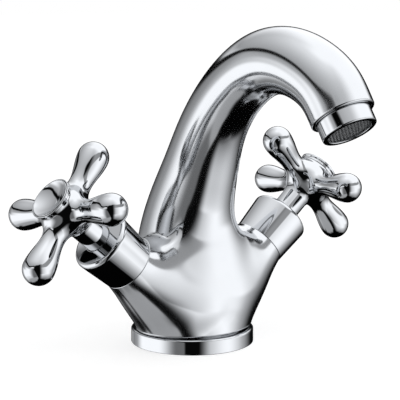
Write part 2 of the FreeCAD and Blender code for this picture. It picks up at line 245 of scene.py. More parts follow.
# Studio: panels and gaps, laid one over the other on plain white. Each one has
# at: stations of (bearing, lowest height, highest height) in degrees, with bearings counted
#     anticlockwise from the way the camera looks
# soft: the degrees over which it fades below and above
# ends: the degrees over which it fades before the first and after the last station, or none
#     where it goes all the way round
# low, high: its levels at its lowest and its highest height, as displayed
studio_panels = (
    # Grey of the ceiling on the camera's left
    dict(at=((40, 27, 67), (190, 27, 67)),
         soft=(8, 18), ends=(50, 60), low=0.60, high=0.88),
    # Grey wall behind the camera
    dict(at=((178, -70, 14), (190, -70, 14)),
         soft=(6, 30), ends=(12, 62), low=0.60, high=0.66),
    # Upper half of the right panel
    dict(at=((-100, -2, 22), (-60, -2, 22)),
         soft=(12, 16), ends=(30, 30), low=1.0, high=0.99),
    # Lower half of the right panel
    dict(at=((-165, -54, -24), (-84, -54, -24)),
         soft=(6, 4), ends=(10, 44), low=0.46, high=0.93),
    # Lower half of the left panel
    dict(at=((55, -52, -36), (120, -52, -36)),
         soft=(2, 10), ends=(14, 20), low=0.72, high=0.88),
    # Wall above the left panel
    dict(at=((20, -4, 11), (60, 2, 19)),
         soft=(8, 3), ends=(14, 46), low=0.56, high=0.54),
    # Grey end of the right panel
    dict(at=((-70, -60, -8), (-40, -60, -8)),
         soft=(6, 10), ends=(40, 10), low=0.50, high=0.78),
    # Grey end of the left panel, beyond the tap
    dict(at=((38, -44, -6), (52, -44, -6)),
         soft=(8, 6), ends=(12, 24), low=0.50, high=0.64),
    # Dark wall behind the tap
    dict(at=((-36, -90, 12), (7, -90, 18)),
         soft=(3, 14), ends=(50, 58), low=0.03, high=0.04),
    # Grey gap between the right panel and the ceiling
    dict(at=((205, 24, 41), (240, 22, 36), (255, 20, 34),
             (265, 19, 30), (275, 18, 26), (290, 18, 24)),
         soft=(3, 4), ends=(10, 10), low=0.57, high=0.57),
    # Grey edge of the left panel, and the dark gap round the camera
    dict(at=((152, -48, 12), (170, -48, 20)),
         soft=(8, 10), ends=(38, 10), low=0.40, high=0.42),
    dict(at=((156, 8, 30), (162, -2, 34), (168, -14, 36),
             (174, -30, 37), (182, -58, 38), (192, -58, 41)),
         soft=(8, 5), ends=(10, 24), low=0.03, high=0.03),
    # Grey above the left panel, and the thin gap under the ceiling
    dict(at=((80, 15, 23), (120, 13, 20)),
         soft=(9, 3), ends=(14, 16), low=0.66, high=0.58),
    dict(at=((2, 3, 7), (15, 6, 10), (25, 11, 15), (35, 13, 17), (45, 16, 20),
             (55, 18, 23), (65, 22, 26), (75, 23, 28), (85, 24, 29), (95, 23, 28),
             (105, 20, 25), (115, 19, 24), (125, 20, 25), (135, 23, 28), (150, 28, 33)),
         soft=(4, 2), ends=(4, 4), low=0.02, high=0.02),
    # Grey ground on the left, and the left panel's dark foot
    dict(at=((60, -74, -50), (100, -74, -50), (140, -74, -49), (170, -72, -45)),
         soft=(4, 8), ends=(20, 12), low=0.58, high=0.62),
    dict(at=((0, -36, -30), (30, -52, -47), (60, -56, -53)),
         soft=(2, 2), ends=(8, 20), low=0.12, high=0.12),
    # Black ground all round
    dict(at=((-180, -91, -58), (-100, -91, -60), (-60, -91, -46), (0, -91, -18),
             (15, -91, -26), (30, -91, -36), (45, -91, -46), (60, -91, -62),
             (90, -91, -76), (130, -91, -76), (160, -91, -74), (180, -91, -58)),
         soft=(4, 9), ends=(0, 0), low=0.01, high=0.01),
)
studio_power = 1.75
studio_tint = (0.975, 0.985, 1.0, 1)

# Dome, world, floor and lamp, with sizes in metres and the dome's step in degrees
dome_radius = 3.0
dome_step = 1
world_light = 0.7
floor_color = 0.6
floor_roughness = 0.9
floor_glow = 0.62
floor_half = 6.0
lamp_place = (0.35, -0.9, 1.1)
lamp_size = 0.7
lamp_power = 3.0


# Cubic spline through the values, with its slopes given at both ends
class Spline:
    def __init__(self, knots, values, first_slope, last_slope):
        self.knots = np.asarray(knots, float)
        self.values = np.asarray(values, float)
        count = len(self.knots)
        gap = np.diff(self.knots)
        rise = np.diff(self.values, axis=0) / gap[:, None]
        matrix = np.zeros((count, count))
        target = np.zeros_like(self.values)
        matrix[0, 0] = 2 * gap[0]
        matrix[0, 1] = gap[0]
        target[0] = 6 * (rise[0] - np.asarray(first_slope))
        matrix[-1, -1] = 2 * gap[-1]
        matrix[-1, -2] = gap[-1]
        target[-1] = 6 * (np.asarray(last_slope) - rise[-1])
        for row in range(1, count - 1):
            matrix[row, row - 1] = gap[row - 1]
            matrix[row, row] = 2 * (gap[row - 1] + gap[row])
            matrix[row, row + 1] = gap[row]
            target[row] = 6 * (rise[row] - rise[row - 1])
        self.bends = np.linalg.solve(matrix, target)

    def __call__(self, at):
        at = np.clip(at, self.knots[0], self.knots[-1])
        cell = np.clip(np.searchsorted(self.knots, at) - 1, 0, len(self.knots) - 2)
        gap = (self.knots[cell + 1] - self.knots[cell])[:, None]
        high = (at - self.knots[cell])[:, None] / gap
        low = 1 - high
        start = self.values[cell]
        end = self.values[cell + 1]
        bend_start = self.bends[cell]
        bend_end = self.bends[cell + 1]
        value = low * start + high * end
        bow = (low ** 3 - low) * bend_start + (high ** 3 - high) * bend_end
        value = value + bow * gap ** 2 / 6
        bow = (1 - 3 * low ** 2) * bend_start + (3 * high ** 2 - 1) * bend_end
        slope = (end - start) / gap + bow * gap / 6
        return value, slope, low * bend_start + high * bend_end


# Smooth union of two distance fields
def smooth_min(one, other, width):
    overlap = np.maximum(width - np.abs(one - other), 0) / width
    return np.minimum(one, other) - overlap ** 3 * width / 6


def smooth_step(value, low, high):
    share = np.clip((value - low) / (high - low), 0, 1)
    return share * share * (3 - 2 * share)


def neck_spline():
    shares = np.array(neck_station_shares)
    rows = shares * np.array([-spout_reach, arch_height, foot_radius])
    steps = np.hypot(np.diff(rows[:, 0]), np.diff(rows[:, 1]))
    knots = np.concatenate([[0], np.cumsum(steps)])
    ending = (-math.sin(outlet_tilt), -math.cos(outlet_tilt), 0)
    return Spline(knots, rows, (0, 1, 0), ending)


neck = neck_spline()
mouth_forward, mouth_height, _ = neck_station_shares[-1]
mouth = Vector((0, -spout_reach * mouth_forward, arch_height * mouth_height))
arm_root = Vector((0, -arm_setback, arm_root_height))


# Nearest place along the neck's centreline
def nearest_on_neck(points, refine):
    places = np.linspace(neck.knots[0], neck.knots[-1], neck_samples)
    line = neck(places)[0][:, :2]
    found = np.empty(len(points))
    for start in range(0, len(points), chunk_points):
        part = points[start:start + chunk_points, 1:3]
        away = (part[:, 0:1] - line[:, 0]) ** 2 + (part[:, 1:2] - line[:, 1]) ** 2
        found[start:start + chunk_points] = places[np.argmin(away, axis=1)]
    for _ in range(neck_rounds if refine else 0):
        value, slope, bend = neck(found)
        offset = points[:, 1:3] - value[:, :2]
        error = np.sum(offset * slope[:, :2], axis=1)
        rate = np.sum(offset * bend[:, :2], axis=1) - np.sum(slope[:, :2] ** 2, axis=1)
        found = found - error / np.minimum(rate, neck_rate_limit)
        found = np.clip(found, neck.knots[0], neck.knots[-1])
    return found


def neck_field(points, refine):
    value = neck(nearest_on_neck(points, refine))[0]
    offset = points[:, 1:3] - value[:, :2]
    return np.sqrt(points[:, 0] ** 2 + np.sum(offset ** 2, axis=1)) - value[:, 2]


arm_profile = Spline([arm_shoulder * far for far, wide in arm_shape_shares],
                     [[arm_end_radius * wide] for far, wide in arm_shape_shares],
                     [arm_root_slope], [arm_end_slope])


def arm_field(points, side):
    sine = math.sin(arm_angle)
    cosine = math.cos(arm_angle)
    height = points[:, 2] - arm_root_height
    along = side * points[:, 0] * cosine + height * sine
    across = height * cosine - side * points[:, 0] * sine
    radius = arm_profile(along)[0][:, 0]
    tube = np.hypot(across, points[:, 1] + arm_setback) - radius
    return np.maximum(tube, arm_profile.knots[0] - along)


def shoulder_field(points):
    around = np.hypot(points[:, 1] + arm_setback, points[:, 2] - shoulder_height)
    return np.hypot(around, np.maximum(np.abs(points[:, 0]) - shoulder_half, 0)) - shoulder_radius


def body_field(points, refine=True):
    arms = smooth_min(arm_field(points, 1), arm_field(points, -1), arm_blend)
    arms = smooth_min(arms, shoulder_field(points), arm_blend)
    flank = smooth_step(points[:, 2], foot_blend_low, foot_blend_high)
    width = foot_blend + (flank_blend - foot_blend) * flank
    saddle = smooth_step(points[:, 2], saddle_low, saddle_high)
    saddle = saddle * smooth_step(points[:, 1], saddle_front, saddle_back)
    width = width + (saddle_blend - width) * saddle
    return smooth_min(neck_field(points, refine), arms, width)


arm_half_profile = Spline([0, waist_reach, bulb_neck_reach, bulb_reach],
                          [[arm_root_radius], [waist_radius], [bulb_neck_radius], [bulb_radius]],
                          [0.0], [0.0])


def cross_arm_field(along, across, height):
    along = np.abs(along)
    around = np.hypot(across, height)
    radius = arm_half_profile(along)[0][:, 0]
    beyond = np.maximum(along - bulb_reach, 0)
    return np.where(beyond > 0, np.hypot(beyond, around) - bulb_radius, around - radius)


hub_profile = Spline([hub_neck_top, hub_belly_height, hub_waist_height, hub_groove_height,
                      hub_rim_low],
                     [[hub_neck_radius], [hub_belly_radius], [hub_waist_radius],
                      [hub_groove_radius], [hub_rim_radius]], [0.0], [hub_rim_slope])


def handle_field(points, refine=True):
    height = points[:, 2] - cross_plane
    cross = smooth_min(cross_arm_field(points[:, 0], points[:, 1], height),
                       cross_arm_field(points[:, 1], points[:, 0], height), handle_blend)
    hub = np.hypot(points[:, 0], points[:, 1]) - hub_profile(points[:, 2])[0][:, 0]
    return smooth_min(hub, cross, handle_blend)


def gradient(field, points):
    slopes = []
    for shift in slope_reach * np.eye(3):
        slopes.append((field(points + shift) - field(points - shift)) / (2 * slope_reach))
    return np.stack(slopes, axis=1)


def unit(vectors):
    return vectors / np.linalg.norm(vectors, axis=1, keepdims=True)


# Vertices and quads of a field's zero surface inside a box
def extract(field, low, high, step):
    counts = [int(math.ceil((b - a) / step)) + 1 for a, b in zip(low, high)]
    axes = [a + step * np.arange(n) for a, n in zip(low, counts)]
    grid = np.stack(np.meshgrid(*axes, indexing="ij"), axis=-1).reshape(-1, 3)
    values = field(grid, False).reshape(counts)
    total = np.zeros([n - 1 for n in counts] + [3])
    hits = np.zeros([n - 1 for n in counts])
    corners = [(i, j, k) for i in (0, 1) for j in (0, 1) for k in (0, 1)]
    cut = [slice(None, -1), slice(1, None)]
    for a in corners:
        for axis in range(3):
            if a[axis] == 1:
                continue
            b = list(a)
            b[axis] = 1
            start = values[cut[a[0]], cut[a[1]], cut[a[2]]]
            end = values[cut[b[0]], cut[b[1]], cut[b[2]]]
            crossing = (start < 0) != (end < 0)
            share = np.where(crossing, start / np.where(crossing, start - end, 1), 0)
            spot = np.zeros(list(start.shape) + [3])
            spot[...] = a
            spot[..., axis] += share
            total += spot * crossing[..., None]
            hits += crossing
    active = hits > 0
    numbers = -np.ones(active.shape, int)
    numbers[active] = np.arange(active.sum())
    cells = np.argwhere(active)
    points = np.array(low) + step * (cells + total[active] / hits[active][:, None])
    quads = []
    for axis in range(3):
        first, second = [other for other in range(3) if other != axis]
        start = np.take(values, range(counts[axis] - 1), axis=axis) < 0
        end = np.take(values, range(1, counts[axis]), axis=axis) < 0
        edges = np.argwhere(start != end)
        inner = np.all((edges[:, [first, second]] > 0), axis=1)
        inner &= edges[:, first] < counts[first] - 1
        inner &= edges[:, second] < counts[second] - 1
        edges = edges[inner]
        outward = start[tuple(edges.T)]
        ring = []
        for back_first, back_second in ((1, 1), (0, 1), (0, 0), (1, 0)):
            cell = edges.copy()
            cell[:, first] -= back_first
            cell[:, second] -= back_second
            ring.append(numbers[tuple(cell.T)])
        quad = np.stack(ring, axis=1)
        if axis == 1:
            outward = ~outward
        quads.append(np.where(outward[:, None], quad, quad[:, ::-1]))
    for _ in range(settling_rounds):
        slope = gradient(field, points)
        square = np.maximum(np.sum(slope ** 2, axis=1), least_slope_square)
        points = points - slope * (field(points) / square)[:, None]
    return points, np.concatenate(quads)


def add_object(name, data):
    made = bpy.data.objects.new(name, data)
    bpy.context.scene.collection.objects.link(made)
    return made


# A mesh under construction: points, faces and the normal at each face corner
class Shell:
    def __init__(self):
        self.points = []
        self.faces = []
        self.normals = []

    def add_points(self, points):
        start = len(self.points)
        self.points.extend(np.asarray(points, float).tolist())
        return list(range(start, start + len(points)))

    def add_face(self, corners, normals):
        self.faces.append(list(corners))
        self.normals.append([list(normal) for normal in normals])

    def add_band(self, first, second, first_normals, second_normals):
        count = len(first)
        for here in range(count):
            after = (here + 1) % count
            corners = [first[here], first[after], second[after], second[here]]
            normals = [first_normals[here], first_normals[after],
                       second_normals[after], second_normals[here]]
            if first[here] == first[after]:
                del corners[1], normals[1]
            elif second[here] == second[after]:
                del corners[2], normals[2]
            self.add_face(corners, normals)

    def make(self, name, matrix, body, slot, material, nodes):
        mesh = bpy.data.meshes.new(name)
        turn = np.array(matrix.to_3x3())
        spots = np.array(self.points) @ turn.T + np.array(matrix.translation)
        mesh.from_pydata((spots * MM).tolist(), [], self.faces)
        mesh.polygons.foreach_set("use_smooth", [True] * len(self.faces))
        loops = np.array([normal for face in self.normals for normal in face]) @ turn.T
        mesh.normals_split_custom_set(unit(loops).tolist())
        mesh.materials.append(material)
        piece = add_object(name, mesh)
        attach(piece, body)
        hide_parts(*nodes)
        return piece


# Ordered rings of open boundary edges
def open_rings(faces):
    edges = {}
    for face in faces:
        for here, after in zip(face, list(face[1:]) + [face[0]]):
            if (after, here) in edges:
                del edges[(after, here)]
            else:
                edges[(here, after)] = True
    following = dict(edges.keys())
    rings = []
    while following:
        start, here = following.popitem()
        ring = [start]
        while here != start:
            ring.append(here)
            here = following.pop(here)
        rings.append(ring)
    return rings


# Cuts the surface with planes, each with a point, its outward normal and a test that says
# which points it may cut
def trim(points, quads, planes):
    mesh = bmesh.new()
    vertices = [mesh.verts.new(point) for point in points]
    for quad in quads:
        mesh.faces.new([vertices[corner] for corner in quad])
    for spot, normal, near in planes:
        chosen = [vertex for vertex in mesh.verts if near(vertex.co)]
        kept = set(chosen)
        geometry = list(chosen)
        geometry += [edge for edge in mesh.edges if all(end in kept for end in edge.verts)]
        geometry += [face for face in mesh.faces if all(corner in kept for corner in face.verts)]
        bmesh.ops.bisect_plane(mesh, geom=geometry, dist=cut_tolerance, plane_co=spot,
                               plane_no=normal, clear_outer=True)
    mesh.verts.index_update()
    faces = [[vertex.index for vertex in face.verts] for face in mesh.faces]
    points = np.array([vertex.co for vertex in mesh.verts])
    mesh.free()
    return points, faces


# Outline runs (start, normal, end, normal) with rounded corners; the solid lies left of the path
def outline_runs(corners, closed):
    count = len(corners)
    arcs = []
    for here in range(count):
        radius, height, rounding = corners[here]
        spot = np.array([radius, height])
        if rounding == 0 or (not closed and here in (0, count - 1)):
            arcs.append([(spot, None)])
            continue
        before = np.array(corners[here - 1][:2]) - spot
        after = np.array(corners[(here + 1) % count][:2]) - spot
        before = before / np.linalg.norm(before)
        after = after / np.linalg.norm(after)
        half = math.acos(np.clip(before @ after, -1, 1)) / 2
        middle = (before + after) / np.linalg.norm(before + after)
        centre = spot + middle * rounding / math.sin(half)
        start = spot + before * rounding / math.tan(half) - centre
        end = spot + after * rounding / math.tan(half) - centre
        first = math.atan2(start[1], start[0])
        sweep = (math.atan2(end[1], end[0]) - first + math.pi) % (2 * math.pi) - math.pi
        facing = 1 if before[0] * after[1] < before[1] * after[0] else -1
        arc = []
        for step in range(round_steps + 1):
            angle = first + sweep * step / round_steps
            out = np.array([math.cos(angle), math.sin(angle)])
            arc.append((centre + rounding * out, facing * out))
        arcs.append(arc)
    runs = []
    for here in range(count if closed else count - 1):
        arc = arcs[here]
        for first, second in zip(arc[:-1], arc[1:]):
            runs.append((first[0], first[1], second[0], second[1]))
        start = arc[-1][0]
        end = arcs[(here + 1) % count][0][0]
        line = end - start
        if np.linalg.norm(line) > tiny:
            side = np.array([line[1], -line[0]]) / np.linalg.norm(line)
            runs.append((start, side, end, side))
    return runs


# Runs down a hollow dish to the axis, about a point on the axis above it
def dish_runs(height, radius, wide, steps):
    runs = []
    angles = np.linspace(math.asin(wide / radius), 0, steps + 1)
    outs = [np.array([math.sin(angle), -math.cos(angle)]) for angle in angles]
    centre = np.array([0, height])
    for start, end in zip(outs[:-1], outs[1:]):
        runs.append((centre + radius * start, -start, centre + radius * end, -end))
    return runs


# Carries an open ring through outline runs; the last ring's corners are returned
def carry_ring(shell, ring, centre, axis, runs):
    axis = np.asarray(axis, float)
    centre = np.asarray(centre, float)
    radial = np.array(shell.points)[ring] - centre
    radial = unit(radial - np.outer(radial @ axis, axis))
    for start, start_normal, end, end_normal in runs:
        if end[0] < tiny:
            current = shell.add_points([centre + axis * end[1]]) * len(ring)
        else:
            current = shell.add_points(centre + radial * end[0] + axis * end[1])
        facing = radial * start_normal[0] + axis * start_normal[1]
        turned = radial * end_normal[0] + axis * end_normal[1]
        shell.add_band(ring[::-1], current[::-1], facing[::-1], turned[::-1])
        ring = current
    return ring


# Rolls an open ring over a rounded edge
def roll_ring(shell, ring, normals, axis, rounding):
    axis = np.asarray(axis, float)
    points = np.array(shell.points)[ring]
    outward = unit(normals - np.outer(normals @ axis, axis))
    facing = outward
    for step in range(1, round_steps + 1):
        angle = math.pi / 2 * step / round_steps
        inset = rounding * (1 - math.cos(angle))
        drop = rounding * math.sin(angle)
        turned = math.cos(angle) * outward + math.sin(angle) * axis
        current = shell.add_points(points - inset * outward + drop * axis)
        shell.add_band(ring[::-1], current[::-1], facing[::-1], turned[::-1])
        ring = current
        facing = turned
    return ring


# Turns runs about the vertical of a placed frame; returns the last ring
def turn_runs(shell, runs, segments, place=Matrix.Identity(4)):
    angles = np.linspace(0, 2 * math.pi, segments, endpoint=False)
    turn = np.array(place.to_3x3())
    radial = np.stack([np.cos(angles), np.sin(angles), 0 * angles], axis=1) @ turn.T
    axis = turn[:, 2]
    centre = np.array(place.translation)
    rings = {}
    ring = None
    for start, start_normal, end, end_normal in runs:
        pair = []
        for spot in (start, end):
            key = (round(spot[0], key_digits), round(spot[1], key_digits))
            if key not in rings and spot[0] < tiny:
                rings[key] = shell.add_points([centre + axis * spot[1]]) * segments
            elif key not in rings:
                rings[key] = shell.add_points(centre + radial * spot[0] + axis * spot[1])
            pair.append(rings[key])
        facing = radial * start_normal[0] + axis * start_normal[1]
        turned = radial * end_normal[0] + axis * end_normal[1]
        shell.add_band(pair[0], pair[1], facing, turned)
        ring = pair[1]
    return ring


# Flat fill between an outer ring and holes
def fill_flat(shell, rings, normal):
    mesh = bmesh.new()
    corners = {}
    edges = []
    for ring in rings:
        for corner in ring:
            corners[corner] = mesh.verts.new(shell.points[corner])
        for here in range(len(ring)):
            edges.append(mesh.edges.new((corners[ring[here - 1]], corners[ring[here]])))
    mesh.verts.index_update()
    numbers = {vertex.index: corner for corner, vertex in corners.items()}
    bmesh.ops.triangle_fill(mesh, use_beauty=True, use_dissolve=False, edges=edges, normal=normal)
    for face in mesh.faces:
        ring = [numbers[vertex.index] for vertex in face.verts]
        if face.normal.dot(Vector(normal)) < 0:
            ring.reverse()
        shell.add_face(ring, [normal] * len(ring))
    mesh.free()


# Trimmed surface of a field as a shell, with its open rings
def field_shell(field, low, high, step, planes):
    points, quads = extract(field, low, high, step)
    points, faces = trim(points, quads, planes)
    normals = unit(gradient(field, points))
    shell = Shell()
    shell.add_points(points)
    for face in faces:
        shell.add_face(face, normals[face])
    return shell, normals, open_rings(faces)


def arm_matrix(side):
    turn = Matrix.Rotation(side * (math.pi / 2 - arm_angle), 4, "Y")
    return Matrix.Translation(arm_root) @ turn


outlet_matrix = Matrix.Translation(mouth) @ Matrix.Rotation(-outlet_tilt, 4, "X")


def body_shell():
    foot_cut = ring_height + foot_gap + foot_edge_round
    planes = [(Vector((0, 0, foot_cut)), Vector((0, 0, -1)),
               lambda spot: spot.z < foot_cut + body_margin)]
    ends = []
    for side in (1, -1):
        along = Vector((side * math.cos(arm_angle), 0, math.sin(arm_angle)))
        cut = arm_root + along * (arm_shoulder - arm_edge_round)
        planes.append((cut, along, lambda spot, along=along, cut=cut:
                       (spot - cut).dot(along) > -body_margin
                       and (spot - cut).cross(along).length < arm_end_radius + body_margin))
        ends.append(along)
    outward = Vector((0, -math.sin(outlet_tilt), -math.cos(outlet_tilt)))
    mouth_cut = mouth - outward * mouth_round
    planes.append((mouth_cut, outward, lambda spot: (spot - mouth_cut).dot(outward) > -body_margin
                   and spot.y < mouth.y / 2 and spot.z > mouth.z / 2))
    wide = arm_shoulder + body_margin
    low = (-wide, mouth.y - ring_radius / 2, foot_cut - body_margin)
    high = (wide, ring_radius, arch_height + ring_radius / 2 + body_margin)
    shell, normals, rings = field_shell(body_field, low, high, body_step, planes)
    for ring in rings:
        middle = Vector(np.array(shell.points)[ring].mean(axis=0))
        if middle.z < foot_cut + tiny + body_step:
            rim = roll_ring(shell, ring, normals[ring], (0, 0, -1), foot_edge_round)
            corners = [(foot_radius, -(ring_height + foot_gap), 0),
                       (spigot_radius, -(ring_height + foot_gap), 0),
                       (spigot_radius, -ring_lip_height, arm_edge_round),
                       (cavity_radius, -ring_lip_height, arm_edge_round),
                       (cavity_radius, -cavity_height, 0)]
            rim = carry_ring(shell, rim, (0, 0, 0), (0, 0, -1), outline_runs(corners, False))
            holes = [(inlet_spacing, -arm_setback, inlet_radius, inlet_depth),
                     (-inlet_spacing, -arm_setback, inlet_radius, inlet_depth),
                     (0, stud_setback, stud_radius, stud_depth)]
            fill = [rim]
            for x, y, radius, depth in holes:
                top = cavity_height + depth
                corners = [(0, top, 0), (radius, top, 0), (radius, cavity_height, 0)]
                place = Matrix.Translation(Vector((x, y, 0)))
                fill.append(turn_runs(shell, outline_runs(corners, False), hole_segments, place))
            fill_flat(shell, fill, (0, 0, -1))
        elif middle.y < mouth.y / 2:
            rim = roll_ring(shell, ring, normals[ring], outward, mouth_round)
            corners = [(mouth_bore_radius + mouth_round, 0, 0),
                       (mouth_bore_radius, 0, arm_edge_round / 2),
                       (mouth_bore_radius, -mouth_recess, 0),
                       (outlet_bore_radius, -mouth_recess, 0),
                       (outlet_bore_radius, -outlet_bore_depth, 0),
                       (waterway_radius, -outlet_bore_depth, 0),
                       (waterway_radius, -2 * outlet_bore_depth, 0),
                       (0, -2 * outlet_bore_depth, 0)]
            carry_ring(shell, rim, mouth, outward, outline_runs(corners, False))
        else:
            along = ends[0] if middle.x > 0 else ends[1]
            rim = roll_ring(shell, ring, normals[ring], along, arm_edge_round)
            corners = [(arm_end_radius - arm_edge_round, arm_shoulder, 0),
                       (arm_spigot_radius, arm_shoulder, 0),
                       (arm_spigot_radius, arm_end, arm_edge_round),
                       (chamber_radius, arm_end, 0),
                       (chamber_radius, chamber_floor, 0),
                       (0, chamber_floor, 0)]
            carry_ring(shell, rim, arm_root, along, outline_runs(corners, False))
    return shell


def handle_shell():
    planes = [(Vector((0, 0, hub_rim_low)), Vector((0, 0, 1)),
               lambda spot: spot.z > hub_rim_low - handle_margin),
              (Vector((0, 0, hub_cut)), Vector((0, 0, -1)),
               lambda spot: spot.z < hub_cut + handle_margin)]
    wide = bulb_reach + bulb_radius + handle_margin
    low = (-wide, -wide, hub_cut - handle_margin)
    high = (wide, wide, hub_rim_low + handle_margin)
    web_middle = (hub_web_top + spindle_top) / 2
    shell, _, rings = field_shell(handle_field, low, high, handle_step, planes)
    for ring in rings:
        if shell.points[ring[0]][2] > cross_plane:
            corners = [(hub_rim_radius, hub_rim_low, 0),
                       (hub_rim_radius, hub_rim_top, hub_rim_round),
                       (cap_seat_radius, hub_rim_top, hub_rim_round),
                       (cap_seat_radius, cap_seat_height, 0),
                       (hub_well_radius, cap_seat_height, 0),
                       (hub_well_radius, hub_web_top, 0),
                       (hub_bore_radius, hub_web_top, 0),
                       (hub_bore_radius, web_middle, 0)]
            carry_ring(shell, ring, (0, 0, 0), (0, 0, 1), outline_runs(corners, False))
        else:
            corners = [(hub_neck_radius, -hub_cut, 0),
                       (hub_neck_radius, -hub_foot, 0),
                       (spindle_bore_radius, -hub_foot, 0),
                       (spindle_bore_radius, -spindle_top, 0),
                       (hub_bore_radius, -spindle_top, 0),
                       (hub_bore_radius, -web_middle, 0)]
            carry_ring(shell, ring, (0, 0, 0), (0, 0, -1), outline_runs(corners, False))
    return shell


def turned_shell(corners):
    shell = Shell()
    turn_runs(shell, outline_runs(corners, True), turn_segments)
    return shell


def bonnet_shell():
    return turned_shell([(bonnet_low_radius, arm_shoulder, arm_edge_round),
                         (bonnet_high_radius, bonnet_top, bonnet_rim_round),
                         (bonnet_hole_radius, bonnet_top + bonnet_crown, arm_edge_round),
                         (bonnet_hole_radius, bonnet_ceiling, 0),
                         (bonnet_bore_radius, bonnet_ceiling, 0),
                         (bonnet_bore_radius, arm_shoulder, 0)])


def ring_shell():
    return turned_shell([(ring_lip_radius, 0, arm_edge_round),
                         (ring_radius, 0, arm_edge_round),
                         (ring_radius, ring_height, ring_edge_round),
                         (ring_bore_radius, ring_height, arm_edge_round / 2),
                         (ring_bore_radius, ring_lip_height, 0),
                         (ring_lip_radius, ring_lip_height, 0)])


def collar_shell():
    return turned_shell([(collar_lip_radius, -collar_drop, arm_edge_round),
                         (collar_radius, -collar_drop, collar_edge_round),
                         (collar_radius, mouth_recess, 0),
                         (collar_thread_radius, mouth_recess, 0),
                         (collar_thread_radius, collar_thread_height, 0),
                         (collar_bore_radius, collar_thread_height, 0),
                         (collar_bore_radius, collar_lip_height - collar_drop, 0),
                         (collar_lip_radius, collar_lip_height - collar_drop, 0)])


def cap_shell():
    wide = cap_radius - cap_lip
    radius = (wide ** 2 + cap_dish ** 2) / (2 * cap_dish)
    corners = [(0, cap_plug_foot, 0),
               (cap_plug_radius, cap_plug_foot, 0),
               (cap_plug_radius, cap_seat_height, 0),
               (cap_radius, cap_seat_height, 0),
               (cap_radius, cap_edge_top, cap_edge_round),
               (wide, cap_edge_top, 0)]
    runs = outline_runs(corners, False)
    runs += dish_runs(cap_edge_top - cap_dish + radius, radius, wide, cap_steps)
    shell = Shell()
    turn_runs(shell, runs, turn_segments)
    return shell


# Woven wire screen in the collar, seen from below the outlet
def screen_shell():
    shell = Shell()
    level = collar_lip_height - collar_drop + wire_radius * 2
    count = int(screen_radius / wire_pitch)
    for number in range(-count, count + 1):
        offset = number * wire_pitch
        half = math.sqrt(screen_radius ** 2 - offset ** 2)
        steps = max(least_wire_steps, int(half * 2 / wire_pitch * wire_steps))
        along = np.linspace(-half, half, steps + 1)
        for turned in (False, True):
            phase = math.pi * (number + (1 if turned else 0))
            wave = math.pi * along / wire_pitch + phase
            lift = wire_radius * np.cos(wave)
            slope = -wire_radius * math.pi / wire_pitch * np.sin(wave)
            previous = None
            for place, high, rise in zip(along, lift, slope):
                size = math.hypot(1, rise)
                points = []
                normals = []
                for side in range(wire_sides):
                    angle = 2 * math.pi * side / wire_sides
                    out = (-math.sin(angle) * rise / size, math.cos(angle), math.sin(angle) / size)
                    spot = (place + wire_radius * out[0], offset + wire_radius * out[1],
                            level + high + wire_radius * out[2])
                    if turned:
                        spot = (-spot[1], spot[0], spot[2])
                        out = (-out[1], out[0], out[2])
                    points.append(spot)
                    normals.append(out)
                ring = shell.add_points(points)
                if previous is None:
                    shell.add_face(ring[::-1], normals[::-1])
                else:
                    shell.add_band(previous[0], ring, previous[1], normals)
                previous = (ring, normals)
            shell.add_face(previous[0], previous[1])
    return shell


# Node material: base colour and roughness broken up by noise, with a faint bump from the same
# noise, or from the marks of a lathe where bands gives their scale
def surface(name, color, metallic, roughness, spread, scale, bump, tint, bands=None):
    material = bpy.data.materials.new(name)
    material.use_nodes = True
    nodes = material.node_tree.nodes
    links = material.node_tree.links
    shader = nodes["Principled BSDF"]
    shader.inputs["Metallic"].default_value = metallic
    place = nodes.new("ShaderNodeTexCoord")
    grain = nodes.new("ShaderNodeTexNoise")
    grain.inputs["Scale"].default_value = scale
    grain.inputs["Detail"].default_value = noise_detail
    links.new(place.outputs["Object"], grain.inputs["Vector"])
    level = nodes.new("ShaderNodeMapRange")
    level.inputs["To Min"].default_value = roughness
    level.inputs["To Max"].default_value = roughness + spread
    links.new(grain.outputs["Fac"], level.inputs["Value"])
    links.new(level.outputs["Result"], shader.inputs["Roughness"])
    ramp = nodes.new("ShaderNodeValToRGB")
    ramp.color_ramp.elements[0].position = tint_low
    ramp.color_ramp.elements[0].color = [part * (1 - tint) for part in color] + [1]
    ramp.color_ramp.elements[1].position = tint_high
    ramp.color_ramp.elements[1].color = [min(1, part * (1 + tint)) for part in color] + [1]
    links.new(grain.outputs["Fac"], ramp.inputs["Fac"])
    links.new(ramp.outputs["Color"], shader.inputs["Base Color"])
    height = grain.outputs["Fac"]
    if bands:
        lathe_marks = nodes.new("ShaderNodeTexWave")
        lathe_marks.wave_type = "RINGS"
        lathe_marks.inputs["Scale"].default_value = bands
        lathe_marks.inputs["Distortion"].default_value = lathe_distortion
        links.new(place.outputs["Object"], lathe_marks.inputs["Vector"])
        height = lathe_marks.outputs["Fac"]
    relief = nodes.new("ShaderNodeBump")
    relief.inputs["Strength"].default_value = bump
    relief.inputs["Distance"].default_value = bump_depth
    links.new(height, relief.inputs["Height"])
    links.new(relief.outputs["Normal"], shader.inputs["Normal"])
    return material


